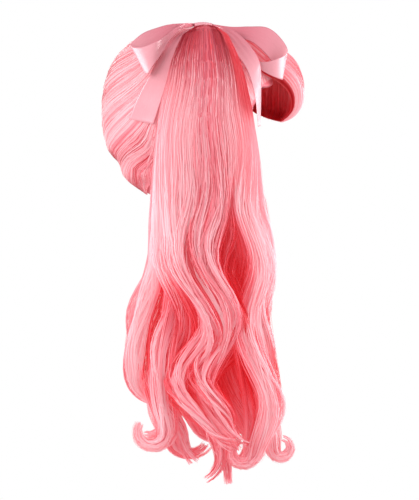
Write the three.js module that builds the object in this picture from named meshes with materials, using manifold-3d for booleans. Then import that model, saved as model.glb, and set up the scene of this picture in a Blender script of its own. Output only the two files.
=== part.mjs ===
// Ponytail wig: a hollow crown of hair combed up to a tie, a rolled fringe, one long waved tail that falls
// over the wearer's right side, and a satin ribbon bow at the tie.
// Millimetres, +Z up, +X to the wearer's front, +Y to the wearer's left.
// The origin is where the top of the wearer's head meets the inside of the crown.
import * as THREE from "three";
import { mergeVertices } from "three/addons/utils/BufferGeometryUtils.js";
import Module from "manifold-3d";

const { lerp, degToRad, smoothstep, clamp } = THREE.MathUtils;
const wasm = await Module();
wasm.setup();

// Rows of numbers under named columns.
function table(columns, rows) {
  const names = columns.split(" ");
  return rows.map((row) => Object.fromEntries(names.map((name, i) => [name, row[i]])));
}

// Driving sizes

const GAP = 0.4; // clearance between neighbouring pieces

// Half sizes of the head form that the crown is hollowed to, and of the combed hair outside it.
// Each is a ball about (x, 0, z) with its own reach to the front, back, side, top and bottom.
const HEAD = { x: 0, z: -98, front: 95, back: 96, side: 78, up: 98, down: 128 };
const HAIR = { x: -18, z: -93, front: 121, back: 111, side: 90, up: 108, down: 126 };
// The hair form is squarer than a ball at its upper back: by how much, and how soon that sets in.
const FULL_BACK = { squarer: 0.45, backward: 1.6, upward: 2, level: 0.4 };

const ROOT = { x: -8, y: -46 }; // where the tail leaves the crown, seen from above
const NECK_RADIUS = 7.2; // the tail where the tie grips it
const TIE = { lift: 3.4, tube: 2.2, sides: 6, steps: 18 };
const KNOT = { x: -8, y: -32, z: 13.6, long: 22, deep: 11, high: 9.6, ends: 0.72, stops: 7, sides: 14 };
const RIBBON_THICK = 1;

const COMBED = { locks: 26, rings: 12, ridge: 1.3 }; // combed ridges round the crown
const EDGE = { share: 0.4, from: 0.88 }; // how thin the hair gets at the hairline, and where that starts
// The crease between back hair and nape hair, and how far back it starts and is whole.
const NAPE_FOLD = { z: -158, high: 14, deep: 6.5, from: -30, whole: -70 };

// Hairline: how far below the level of the head form's centre it runs, round from the front.
const HAIRLINE = [
  { around: 0, dip: -29 },
  { around: 45, dip: -21 },
  { around: 72, dip: 7 },
  { around: 96, dip: 3 },
  { around: 125, dip: 22 },
  { around: 152, dip: 43 },
  { around: 180, dip: 50 },
];

// Fringe: a row for each stop from its root to its tip, with its outer and under face in the middle plane,
// how far it spreads to the near and far side, in degrees round the crown's axis, and how far it would be swept
// up at the sweep angle.
const FRINGE_STEPS = 12;
const FRINGE_RIDGE = 0.9;
const SWEEP_ANGLE = degToRad(55);
const FRINGE_EDGE = { share: 0.55, power: 6 }; // how far its two side edges round over to the under face
const FRINGE = [
  { outX: 54, outZ: 1.5, underX: 53, underZ: -2.5, near: -46, far: 46, sweep: 0 },
  { outX: 73, outZ: -0.5, underX: 67.5, underZ: -13.2, near: -50, far: 50, sweep: 0 },
  { outX: 92, outZ: -9, underX: 81, underZ: -25.7, near: -51, far: 52, sweep: 0 },
  { outX: 109, outZ: -20, underX: 92, underZ: -44, near: -46, far: 54, sweep: 2 },
  { outX: 121, outZ: -38, underX: 102, underZ: -57, near: -28, far: 55, sweep: 8 },
  { outX: 127, outZ: -60, underX: 108, underZ: -71, near: -15, far: 54, sweep: 15 },
  { outX: 124, outZ: -81, underX: 108, underZ: -86, near: -10, far: 50, sweep: 22 },
  { outX: 113, outZ: -95, underX: 102, underZ: -95, near: -8, far: 44, sweep: 28 },
  { outX: 99, outZ: -101, underX: 97, underZ: -100, near: -5, far: 36, sweep: 31 },
];

// Gathered top and core of the tail: its middle line over the side of the head, and its half width and depth.
const TAIL_SIDES = 20;
const TAIL_FLUTE = 0.035; // how far the combed flutes of its top stand in and out, as a share of its size
const TAIL_Y = -117; // how far out the tail hangs
const TAIL_TOP = [
  { x: -8, y: -46.3, z: 0.5, wide: NECK_RADIUS - 0.4, deep: NECK_RADIUS - 0.4 },
  { x: -8, y: -50, z: 5.6, wide: NECK_RADIUS - 0.2, deep: NECK_RADIUS - 0.2 },
  { x: -9, y: -59.4, z: 5.8, wide: 12.4, deep: 5.2 },
  { x: -12, y: -73, z: -1.5, wide: 25, deep: 9.5 },
  { x: -14, y: -85, z: -17, wide: 33, deep: 13 },
  { x: -17, y: -103, z: -42, wide: 42, deep: 17 },
  { x: -18, y: -112, z: -66, wide: 48, deep: 20 },
  { x: -19, y: TAIL_Y, z: -98, wide: 55, deep: 22 },
  { x: -19, y: TAIL_Y, z: -142, wide: 60, deep: 23 },
  { x: -20, y: -116, z: -190, wide: 61, deep: 21 },
  { x: -20, y: -113, z: -240, wide: 54, deep: 17 },
  { x: -18, y: -111, z: -300, wide: 50, deep: 13 },
  { x: -15, y: -110, z: -360, wide: 46, deep: 11 },
  { x: -13, y: -110, z: -420, wide: 34, deep: 8 },
];

// Waved locks: a row for each, with heights as drops below the tie.
// top, low: x of its middle line at its start and at the low mark. crest: drop of a forward crest, with the
// half waves above and below it. sway: wave height. y: how far out it hangs. wide, deep: half sizes.
// ends: where the tip starts to turn, then by how many degrees (forward is positive) and at what radius.
const LOCK = { start: 150, low: 450, full: 290, settle: 120, sides: 8, waveSteps: 4, tipStep: 36, roll: 0.5 };
// Along its length a lock swells from a slim root, and from the taper mark it thins to its tip.
const LOCK_SIZE = { root: 0.3, swell: 0.35, taper: 0.78, tip: 0.16, tipPower: 1.3 };
const LOCKS = table("top low crest above below sway y wide deep ends turn radius", [
  [-71, -104, 255, 110, 128, 9, -116, 13, 16, 410, 85, 34],
  [-58, -68, 290, 110, 118, 9, -128, 15, 12, 470, -220, 18],
  [-58, -61, 356, 95, 70, 15, -123, 15, 12, 488, 40, 40],
  [-44, -35, 357, 97, 61, 20, -137, 14, 11, 472, 50, 40],
  [-28, -12, 357, 96, 58, 17, -131, 13, 12, 470, 45, 40],
  [-8, -8, 349, 80, 78, 18, -136, 14, 11, 468, 25, 50],
  [25, 42, 445, 85, 85, 12, -128, 15, 13, 506, -240, 14],
  [40, 48, 270, 70, 70, 5, -122, 12, 13, 415, -30, 40],
  [8, 22, 310, 110, 95, 13, -110, 16, 14, 480, -70, 30],
  [20, 48, 500, 90, 90, 8, -114, 12, 11, 500, 250, 12],
  [-50, -62, 340, 100, 90, 9, -112, 16, 14, 486, 130, 24],
  [-30, -12, 330, 100, 90, 10, -112, 15, 14, 498, -75, 34],
  [-16, -4, 340, 100, 95, 10, -103, 13, 12, 532, 10, 60],
  [-58, -66, 300, 110, 95, 12, -97, 16, 10, 450, -120, 24],
  [-24, -30, 320, 100, 90, 13, -95, 17, 10, 472, 120, 24],
  [14, 20, 300, 100, 85, 11, -96, 17, 10, 455, -110, 24],
]);

// Ribbon: a row for each stop along it, with the places of its two edges, a and b.
const RIBBONS = {
  bow_loop_back: table("ax ay az bx by bz", [
    [-19.8, -28.6, 16.6, -19.8, -29, 12.6],
    [-47.5, -38, 14, -45, -49, 5],
    [-67, -45, 8, -64, -63, -12],
    [-86.5, -54, -1, -80, -76, -37],
    [-102, -66, -17, -86.5, -82, -52],
    [-90.5, -75, -19.5, -84, -86, -53],
    [-74, -77, -13.5, -77.5, -86, -43],
    [-63, -69, -6.5, -68, -80.5, -30],
    [-50, -56, 4, -54, -67, -9],
    [-35, -44, 14, -37, -51, 6.5],
    [-19.8, -32, 16.6, -19.8, -32.6, 12.6],
  ]),
  bow_loop_front: table("ax ay az bx by bz", [
    [3.8, -28, 16.6, 3.8, -28.4, 11.5],
    [28, -34, 13, 26, -44, -2],
    [49, -40, 13, 46, -56, -7],
    [69, -46, 11.5, 62, -63, -21],
    [82.5, -55, 0, 75, -67, -39],
    [90, -69, -20, 82.5, -75, -55],
    [75, -79, -30.5, 72, -79, -53],
    [56, -75, -34, 54, -76, -43],
    [37, -60, -9, 37, -65, -20],
    [3.8, -31.4, 16.6, 3.8, -32, 11.2],
  ]),
  bow_tail_back: table("ax ay az bx by bz", [
    [-19.8, -29, 11, -19.8, -35, 9.6],
    [-48, -56.5, -4, -36, -57.5, -4],
    [-70, -75.2, -34.5, -50, -78, -32],
    [-82.5, -79, -57, -58, -85.2, -54.5],
    [-96, -73, -83, -67, -86.2, -82.5],
    [-103.5, -64.5, -105, -76, -80, -112],
  ]),
  bow_tail_front: table("ax ay az bx by bz", [
    [3.8, -34.6, 15.4, 3.8, -35.2, 10.4],
    [27, -52, 5.5, 13, -57, -1],
    [44.5, -70, -16, 20.5, -73, -19],
    [53.5, -79, -36.5, 35, -95, -48],
    [54, -84, -69.5, 41, -111, -81.5],
    [52.5, -87, -113, 43, -119, -116.5],
  ]),
};
const RIBBON_STEPS = 3; // lofted sections between one stop and the next

// Helpers

// A closed mesh from vertices and triangles, turned so that its faces point out.
function closedMesh(points, triangles) {
  const volume = triangles.reduce((sum, [a, b, c]) => {
    const cross = new THREE.Vector3().crossVectors(points[b], points[c]);
    return sum + points[a].dot(cross);
  }, 0);
  const index = triangles.flatMap(([a, b, c]) => (volume < 0 ? [a, c, b] : [a, b, c]));
  return new THREE.BufferGeometry().setFromPoints(points).setIndex(index);
}

// A solid skinned over a row of rings with equal, even numbers of points. Each end is closed straight across.
// Both halves of a ring are split along the same diagonals, so that the two faces of a twisted wall stay apart.
function skin(rings) {
  const count = rings[0].length;
  const triangles = [];
  for (let r = 0; r + 1 < rings.length; r++) {
    for (let i = 0; i < count; i++) {
      const [a, b] = [r * count + i, r * count + ((i + 1) % count)];
      if (i < count / 2) triangles.push([a, b, b + count], [a, b + count, a + count]);
      else triangles.push([a, b, a + count], [b, b + count, a + count]);
    }
  }
  const last = (rings.length - 1) * count;
  for (let i = 0; i < count / 2 - 1; i++) {
    const [a, b, c, d] = [i, i + 1, count - 2 - i, count - 1 - i];
    triangles.push([a, c, b], [a, d, c]);
    triangles.push([last + a, last + b, last + c], [last + a, last + c, last + d]);
  }
  return closedMesh(rings.flat(), triangles);
}

// An oval ring about a point, wide along one direction and deep along another.
function oval(middle, across, through, wide, deep, sides) {
  return Array.from({ length: sides }, (_, i) => {
    const angle = (2 * Math.PI * i) / sides;
    return middle
      .clone()
      .addScaledVector(across, wide * Math.cos(angle))
      .addScaledVector(through, deep * Math.sin(angle));
  });
}

function manifoldOf(geometry) {
  const plain = geometry.clone();
  for (const extra of ["normal", "uv"]) plain.deleteAttribute(extra);
  const merged = mergeVertices(plain, 1e-3);
  return new wasm.Manifold(
    new wasm.Mesh({
      numProp: 3,
      vertProperties: new Float32Array(merged.attributes.position.array),
      triVerts: new Uint32Array(merged.index.array),
    }),
  );
}

function geometryOf(solid) {
  const mesh = solid.getMesh();
  return new THREE.BufferGeometry()
    .setAttribute("position", new THREE.BufferAttribute(new Float32Array(mesh.vertProperties), 3))
    .setIndex(new THREE.BufferAttribute(new Uint32Array(mesh.triVerts), 1));
}

// Crown

// The point of a head or hair form in a direction from its centre.
function onForm(form, direction, fullness = 0) {
  const { x, y, z } = direction;
  const backward = clamp(-FULL_BACK.backward * x, 0, 1);
  const upward = clamp(FULL_BACK.upward * z + FULL_BACK.level, 0, 1);
  const power = 2 + fullness * backward * upward;
  const reach = (Math.hypot(x, y) ** power + Math.abs(z) ** power) ** (-1 / power);
  return new THREE.Vector3(
    form.x + reach * x * (x > 0 ? form.front : form.back),
    reach * y * form.side,
    form.z + reach * z * (z > 0 ? form.up : form.down),
  );
}

// The direction in which the hair form is met straight below a point of the plan view.
function directionAt(x, y) {
  const dx = (x - HAIR.x) / (x > HAIR.x ? HAIR.front : HAIR.back);
  const dy = y / HAIR.side;
  return new THREE.Vector3(dx, dy, Math.sqrt(1 - dx * dx - dy * dy));
}

function hairlineDip(around) {
  const place = Math.abs(around);
  const next = Math.max(1, HAIRLINE.findIndex((row) => row.around >= place));
  const [from, to] = [HAIRLINE[next - 1], HAIRLINE[next]];
  return lerp(from.dip, to.dip, smoothstep(place, from.around, to.around));
}

const ROOT_DIRECTION = directionAt(ROOT.x, ROOT.y);
const ROOT_POINT = onForm(HAIR, ROOT_DIRECTION);
const ROOT_NORMAL = new THREE.Vector3(
  ROOT_DIRECTION.x / HAIR.front,
  ROOT_DIRECTION.y / HAIR.side,
  ROOT_DIRECTION.z / HAIR.up,
).normalize();

// Combed hair lies along arcs from the tie down to the hairline, with ridges between the locks.
function crownGeometry() {
  const spokes = 2 * COMBED.locks;
  const points = [onForm(HAIR, ROOT_DIRECTION), onForm(HEAD, ROOT_DIRECTION)];
  for (let ring = 1; ring <= COMBED.rings; ring++) {
    const share = ring / COMBED.rings;
    for (let spoke = 0; spoke < spokes; spoke++) {
      const around = ((spoke + 0.5) / spokes) * 360 - 180;
      const dip = degToRad(hairlineDip(around));
      const turn = degToRad(around);
      const rim = new THREE.Vector3(
        Math.cos(turn) * Math.cos(dip),
        Math.sin(turn) * Math.cos(dip),
        -Math.sin(dip),
      );
      const arc = ROOT_DIRECTION.angleTo(rim);
      const direction = ROOT_DIRECTION.clone()
        .multiplyScalar(Math.sin((1 - share) * arc))
        .addScaledVector(rim, Math.sin(share * arc))
        .normalize();
      const inner = onForm(HEAD, direction);
      const outer = onForm(HAIR, direction, FULL_BACK.squarer);
      const ridge = COMBED.ridge * Math.sin(Math.PI * share) * (spoke % 2 ? 1 : -1);
      const away = clamp((outer.x - NAPE_FOLD.from) / (NAPE_FOLD.whole - NAPE_FOLD.from), 0, 1);
      const fold = NAPE_FOLD.deep * away * Math.exp(-(((outer.z - NAPE_FOLD.z) / NAPE_FOLD.high) ** 2));
      outer.addScaledVector(direction, ridge - fold);
      const thin = lerp(1, EDGE.share, smoothstep(share, EDGE.from, 1) ** 2);
      points.push(inner.clone().lerp(outer, thin), inner);
    }
  }
  const at = (ring, spoke, face) => 2 + 2 * ((ring - 1) * spokes + (spoke % spokes)) + face;
  const triangles = [];
  for (let spoke = 0; spoke < spokes; spoke++) {
    triangles.push([0, at(1, spoke, 0), at(1, spoke + 1, 0)]);
    triangles.push([1, at(1, spoke + 1, 1), at(1, spoke, 1)]);
    for (let ring = 1; ring < COMBED.rings; ring++) {
      const [a, b] = [at(ring, spoke, 0), at(ring, spoke + 1, 0)];
      const [c, d] = [at(ring + 1, spoke + 1, 0), at(ring + 1, spoke, 0)];
      triangles.push([a, d, c], [a, c, b], [a + 1, c + 1, d + 1], [a + 1, b + 1, c + 1]);
    }
    const [a, b] = [at(COMBED.rings, spoke, 0), at(COMBED.rings, spoke + 1, 0)];
    triangles.push([a, a + 1, b + 1], [a, b + 1, b]);
  }
  return closedMesh(points, triangles);
}

// Fringe

// The fringe is its middle profile carried round the crown's upright axis, narrowing to its tip.
function fringeGeometry() {
  const squeeze = HAIR.side / HAIR.front;
  const carry = (x, z, turn) =>
    new THREE.Vector3(
      HAIR.x + (x - HAIR.x) * Math.cos(turn),
      (x - HAIR.x) * squeeze * Math.sin(turn),
      z,
    );
  const rings = FRINGE.map((row) => {
    const turns = Array.from({ length: FRINGE_STEPS + 1 }, (_, i) =>
      degToRad(lerp(row.near, row.far, i / FRINGE_STEPS)),
    );
    const rise = (turn) => row.sweep * (Math.max(turn, 0) / SWEEP_ANGLE) ** 2;
    const over = turns.map((turn, i) => {
      const round = FRINGE_EDGE.share * Math.abs((2 * i) / FRINGE_STEPS - 1) ** FRINGE_EDGE.power;
      const x = lerp(row.outX, row.underX, round) + (i % 2 ? FRINGE_RIDGE : 0);
      return carry(x, lerp(row.outZ, row.underZ, round) + rise(turn), turn);
    });
    const under = turns.map((turn) => carry(row.underX, row.underZ + rise(turn), turn)).reverse();
    return [...over, ...under];
  });
  return skin(rings);
}

// Tail

function tailTopGeometry() {
  const path = new THREE.CatmullRomCurve3(
    TAIL_TOP.map(({ x, y, z }) => new THREE.Vector3(x, y, z)),
  );
  const across = new THREE.Vector3(1, 0, 0);
  const rings = TAIL_TOP.map((row, i) => {
    const along = path.getTangent(i / (TAIL_TOP.length - 1));
    const through = new THREE.Vector3().crossVectors(along, across).normalize();
    const middle = new THREE.Vector3(row.x, row.y, row.z);
    const flute = i < 2 ? 0 : TAIL_FLUTE;
    return oval(middle, across, through, row.wide, row.deep, TAIL_SIDES).map((point, side) =>
      point.lerpVectors(middle, point.clone(), side % 2 ? 1 + flute : 1 - flute),
    );
  });
  return skin(rings);
}

// The middle line of a lock: a wave that grows downwards, then an arc at the tip.
function lockPath(lock) {
  const halfAt = (drop) => (drop < lock.crest ? lock.above : lock.below);
  const at = (drop) => {
    const phase = (Math.PI * (drop - lock.crest)) / halfAt(drop);
    const sway = lock.sway * clamp((drop - LOCK.start) / (LOCK.full - LOCK.start), 0, 1);
    const share = (drop - LOCK.start) / (LOCK.low - LOCK.start);
    const out = lerp(TAIL_Y, lock.y, smoothstep(drop, LOCK.start, LOCK.start + LOCK.settle));
    return new THREE.Vector3(
      lerp(lock.top, lock.low, share) + sway * Math.cos(phase),
      out + LOCK.roll * sway * Math.sin(phase),
      ROOT_POINT.z + TIE.lift - drop,
    );
  };
  const points = [];
  for (let drop = LOCK.start; drop < lock.ends; drop += halfAt(drop) / LOCK.waveSteps) points.push(at(drop));
  points.push(at(lock.ends));
  const last = points.at(-1).clone().sub(at(lock.ends - 1));
  let heading = Math.atan2(last.x, -last.z); // from straight down, forward positive
  const turns = Math.ceil(Math.abs(lock.turn) / LOCK.tipStep);
  const turn = degToRad(lock.turn) / turns;
  const stride = 2 * lock.radius * Math.sin(Math.abs(turn) / 2);
  for (let i = 0; i < turns; i++) {
    const middle = heading + turn / 2;
    const step = new THREE.Vector3(Math.sin(middle), 0, -Math.cos(middle));
    points.push(points.at(-1).clone().addScaledVector(step, stride));
    heading += turn;
  }
  return points;
}

function lockGeometry(lock) {
  const path = lockPath(lock);
  const rings = path.map((middle, i) => {
    const along = path[Math.min(i + 1, path.length - 1)].clone().sub(path[Math.max(i - 1, 0)]);
    const through = new THREE.Vector3(0, 1, 0);
    const across = new THREE.Vector3().crossVectors(through, along).normalize();
    const share = i / (path.length - 1);
    const swell = lerp(LOCK_SIZE.root, 1, smoothstep(share, 0, LOCK_SIZE.swell));
    const taper = smoothstep(share, LOCK_SIZE.taper, 1) ** LOCK_SIZE.tipPower;
    const size = swell * lerp(1, LOCK_SIZE.tip, taper);
    return oval(middle, across, through, lock.wide * size, lock.deep * size, LOCK.sides);
  });
  return skin(rings);
}

function tailGeometry() {
  const solid = LOCKS.map((lock) => manifoldOf(lockGeometry(lock))).reduce(
    (joined, lock) => joined.add(lock),
    manifoldOf(tailTopGeometry()),
  );
  return geometryOf(solid);
}

// Tie and bow

function tieMesh(material) {
  const ring = new THREE.TorusGeometry(
    NECK_RADIUS + GAP + TIE.tube,
    TIE.tube,
    TIE.sides,
    TIE.steps,
  );
  const mesh = new THREE.Mesh(ring, material);
  mesh.position.copy(ROOT_POINT).addScaledVector(ROOT_NORMAL, TIE.lift);
  mesh.quaternion.setFromUnitVectors(new THREE.Vector3(0, 0, 1), ROOT_NORMAL);
  return mesh;
}

// The knot is a short roll of ribbon, fuller in the middle than at its ends.
function knotGeometry() {
  const rings = Array.from({ length: KNOT.stops }, (_, i) => {
    const along = i / (KNOT.stops - 1) - 0.5;
    const full = 0.5 * lerp(KNOT.ends, 1, Math.cos(Math.PI * along));
    const middle = new THREE.Vector3(KNOT.x + along * KNOT.long, KNOT.y, KNOT.z);
    const [across, up] = [new THREE.Vector3(0, 1, 0), new THREE.Vector3(0, 0, 1)];
    return oval(middle, across, up, KNOT.deep * full, KNOT.high * full, KNOT.sides);
  });
  return skin(rings);
}

function ribbonGeometry(rows) {
  const edge = (name) =>
    new THREE.CatmullRomCurve3(
      rows.map((row) => new THREE.Vector3(row[name + "x"], row[name + "y"], row[name + "z"])),
      false,
      "centripetal",
    );
  const [edgeA, edgeB] = [edge("a"), edge("b")];
  const steps = RIBBON_STEPS * (rows.length - 1);
  const rings = Array.from({ length: steps + 1 }, (_, i) => {
    const share = i / steps;
    const [a, b] = [edgeA.getPoint(share), edgeB.getPoint(share)];
    const along = edgeA.getTangent(share).add(edgeB.getTangent(share));
    const out = new THREE.Vector3().crossVectors(along, b.clone().sub(a)).normalize();
    const lift = (point, side) => point.clone().addScaledVector(out, (side * RIBBON_THICK) / 2);
    return [lift(a, 1), lift(b, 1), lift(b, -1), lift(a, -1)];
  });
  return skin(rings);
}

// Materials and assembly

const hair = new THREE.MeshStandardMaterial({ color: 0xf58a9b, roughness: 0.45, metalness: 0 });
const satin = new THREE.MeshStandardMaterial({ color: 0xf3a3b1, roughness: 0.3, metalness: 0 });
const elastic = new THREE.MeshStandardMaterial({ color: 0xd98c97, roughness: 0.8, metalness: 0 });

function piece(name, geometry, material) {
  const mesh = new THREE.Mesh(geometry, material);
  mesh.name = name;
  return mesh;
}

const wig = new THREE.Group();
wig.add(piece("crown", crownGeometry(), hair));
wig.add(piece("fringe", fringeGeometry(), hair));
wig.add(piece("tail", tailGeometry(), hair));

const tie = tieMesh(elastic);
tie.name = "tie_band";
wig.add(tie);

const bow = new THREE.Group();
bow.add(piece("bow_knot", knotGeometry(), satin));
for (const [name, rows] of Object.entries(RIBBONS)) bow.add(piece(name, ribbonGeometry(rows), satin));
wig.add(bow);

export default wig;
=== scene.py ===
# %% [markdown]
# # A pink ponytail wig with a satin bow
# This lesson dresses a plain solid model of a wig in hair and ribbon. The solids fix where everything sits:
# a hollow crown, a rolled fringe, one waved tail, the elastic tie and the bow. Loading them first gives
# every later piece a place to go, so nothing has to be fitted by eye.

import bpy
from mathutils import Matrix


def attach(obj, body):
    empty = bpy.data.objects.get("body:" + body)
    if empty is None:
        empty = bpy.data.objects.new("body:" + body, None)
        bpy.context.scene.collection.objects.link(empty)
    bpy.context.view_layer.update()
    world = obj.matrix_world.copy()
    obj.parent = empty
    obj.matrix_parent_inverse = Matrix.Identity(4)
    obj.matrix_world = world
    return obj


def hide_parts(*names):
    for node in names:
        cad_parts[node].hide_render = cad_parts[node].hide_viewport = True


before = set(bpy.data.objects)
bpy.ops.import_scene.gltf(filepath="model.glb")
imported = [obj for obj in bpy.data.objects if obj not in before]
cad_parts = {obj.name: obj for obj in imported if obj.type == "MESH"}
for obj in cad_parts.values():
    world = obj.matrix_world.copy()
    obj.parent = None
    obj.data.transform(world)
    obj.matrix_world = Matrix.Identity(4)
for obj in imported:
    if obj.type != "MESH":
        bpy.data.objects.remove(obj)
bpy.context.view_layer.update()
print("solids:", sorted(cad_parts))

# %% [markdown]
# ## Numbers first
# Hair is thousands of nearly equal curves. Objects made one by one would take minutes, so each bundle is
# worked out as one array of points and turned into one mesh. These helpers are the few bits of arithmetic
# that all the pieces share. Sizes are in millimetres, as a wig maker would write them, and MM turns them
# into metres.

# %% Arithmetic for curves and bundles
import math
from types import SimpleNamespace as Named

import bpy
import numpy as np

MM = 0.001
X, Y, Z = np.eye(3)
draw = np.random.default_rng(20)


def mix(a, b, share):
    return a + (b - a) * share


def ease(value, low, high):
    t = np.clip((value - low) / (high - low), 0, 1)
    return t * t * (3 - 2 * t)


def unit(vectors):
    return vectors / np.maximum(np.linalg.norm(vectors, axis=-1, keepdims=True), 1e-9)


def rows_of(columns, rows):
    """The rows of a table, each with its values named after the columns."""
    return [Named(**dict(zip(columns.split(), row))) for row in rows]


def curve_through(stops, t):
    """Places on a smooth curve through a row of stops, where t counts stops. Columns past z ride along."""
    p = np.asarray(stops, float)
    p = np.vstack([2 * p[:1] - p[1:2], p, 2 * p[-1:] - p[-2:-1]])
    i = np.clip(np.floor(t).astype(int), 0, len(p) - 4)
    f = (t - i)[..., None]
    a, b, c, d = (p[i + k] for k in range(4))
    ab, bc, cd = (np.linalg.norm((q - r)[..., :3], axis=-1, keepdims=True) ** 0.5
                  for q, r in ((b, a), (c, b), (d, c)))
    leave = bc * ((b - a) / ab - (c - a) / (ab + bc) + (c - b) / bc)
    arrive = bc * ((c - b) / bc - (d - b) / (bc + cd) + (d - c) / cd)
    return (b + leave * f + (3 * (c - b) - 2 * leave - arrive) * f**2
            + (2 * (b - c) + leave + arrive) * f**3)


print("curve test:", curve_through([[0, 0, 0], [1, 0, 0], [2, 1, 0]], np.array([0.0, 1.0, 2.0])).tolist())

# %% [markdown]
# ## Camera
# The wig is seen from the wearer's right and a little from behind, with the lens level with the middle of
# the tail. A long lens from two metres keeps the crown and the lowest curls at the same scale.

# %% Place the camera
PICTURE = Named(down=500, mm_per_px=1.25)
VIEW = Named(turn=-10, away=2000, level=-262, forward=5.6)
SENSOR = 36


def link(name, data):
    """A new object in the scene."""
    item = bpy.data.objects.new(name, data)
    bpy.context.scene.collection.objects.link(item)
    return item


turn = math.radians(VIEW.turn)
target = np.array([math.cos(turn), math.sin(turn), 0]) * VIEW.forward + Z * VIEW.level
stand = target + np.array([math.sin(turn), -math.cos(turn), 0]) * VIEW.away
camera = link("camera", bpy.data.cameras.new("camera"))
camera.location = stand * MM
camera.rotation_euler = (math.pi / 2, 0, turn)
camera.data.sensor_width = SENSOR
camera.data.lens = SENSOR * VIEW.away / (PICTURE.down * PICTURE.mm_per_px)
bpy.context.scene.camera = camera
print("lens:", round(camera.data.lens, 1), "mm")

# %% [markdown]
# ## Light
# Pink hair looks flat under one lamp and grey under a dim sky. A white studio answers both: two wide soft
# lamps, one to each side, which make the flanks of the tail brighter than its middle, two weaker ones
# behind, of which the far one makes the satin glint, and a bright surround, a little dimmer above, whose
# light creeps between the locks. The wig hangs in plain white, so there is no floor.

# %% Hang the lamps
LAMPS = rows_of("name x y z size power", [
    ("left_lamp", -2100, -800, 500, 1500, 44),
    ("right_lamp", 2100, -700, 400, 1500, 48),
    ("back_lamp", -300, 2100, 400, 1500, 14),
    ("far_lamp", 1700, 1700, 100, 1100, 14),
])
SURROUND = Named(seen=1.0, light=0.62, ceiling=0.2)

for lamp in LAMPS:
    light = bpy.data.lights.new(lamp.name, "AREA")
    light.size = lamp.size * MM
    light.energy = lamp.power
    lamp_object = link(lamp.name, light)
    lamp_object.location = np.array([lamp.x, lamp.y, lamp.z]) * MM
    aim = lamp_object.location.copy()
    aim.z -= VIEW.level * MM
    lamp_object.rotation_euler = aim.to_track_quat("Z", "Y").to_euler()
print("lamps:", [lamp.name for lamp in LAMPS])

# %% [markdown]
# ## Shader maths in Python
# A finish is a graph of nodes, and wiring each one by hand hides the idea. The small class below wraps a
# socket, so that an expression such as 1 - depth adds the Math node it needs. Every other node comes from
# one method.

# %% Wrap sockets and nodes


class Socket:
    """An output of a node. Arithmetic on it adds Math nodes."""

    def __init__(self, finish, output):
        self.finish = finish
        self.output = output

    def maths(self, operation, first, second):
        return self.finish.node("ShaderNodeMath", {"operation": operation}, {0: first, 1: second})

    def __add__(self, other):
        return self.maths("ADD", self, other)

    def __sub__(self, other):
        return self.maths("SUBTRACT", self, other)

    def __rsub__(self, other):
        return self.maths("SUBTRACT", other, self)

    def __mul__(self, other):
        return self.maths("MULTIPLY", self, other)

    def __abs__(self):
        return self.maths("ABSOLUTE", self, 0)

    __radd__ = __add__
    __rmul__ = __mul__


class Finish:
    """A node tree, of a material or of the surround, that is filled by node()."""

    def __init__(self, owner):
        owner.use_nodes = True
        self.owner = owner
        self.tree = owner.node_tree

    def node(self, kind, settings=(), sockets=(), output=0):
        made = self.tree.nodes.new(kind)
        for name, value in dict(settings).items():
            if name == "stops":
                self.set_stops(made.color_ramp.elements, value)
            else:
                setattr(made, name, value)
        self.fill(made, sockets)
        return Socket(self, made.outputs[output])

    def fill(self, made, sockets):
        for name, value in dict(sockets).items():
            if isinstance(value, Socket):
                self.tree.links.new(value.output, made.inputs[name])
            else:
                made.inputs[name].default_value = value

    def set_stops(self, elements, stops):
        while len(elements) < len(stops):
            elements.new(1)
        for element, (place, colour) in zip(elements, stops):
            element.position = place
            element.color = (*colour, 1)

    def attribute(self, name):
        return self.node("ShaderNodeAttribute", {"attribute_name": name}, output="Fac")

    def ramp(self, value, stops):
        return self.node("ShaderNodeValToRGB", {"stops": stops}, {"Fac": value})

    def blend(self, share, first, second, clamp=True):
        """A mix of two colours. The Mix node has its colours in sockets 6 and 7, and gives the mix in 2."""
        return self.node("ShaderNodeMix", {"data_type": "RGBA", "clamp_factor": clamp},
                         {0: share, 6: first, 7: second}, output=2)

    def shade(self, **sockets):
        """Sets the shader's own sockets, such as Base_Color."""
        shader = self.tree.nodes["Principled BSDF"]
        self.fill(shader, {name.replace("_", " "): value for name, value in sockets.items()})


world = bpy.data.worlds.new("studio_surround")
bpy.context.scene.world = world
surround = Finish(world)
way_out = surround.node("ShaderNodeTexCoord", output="Generated")
height = surround.node("ShaderNodeSeparateXYZ", sockets={0: way_out}, output="Z")
lit = SURROUND.light - SURROUND.ceiling * height
seen = surround.node("ShaderNodeLightPath", output="Is Camera Ray")
strength = lit + seen * (SURROUND.seen - lit)
surround.fill(world.node_tree.nodes["Background"], {"Color": (1, 1, 1, 1), "Strength": strength})
bpy.context.scene.view_settings.view_transform = "Standard"
print("surround strength for light:", SURROUND.light)
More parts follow.
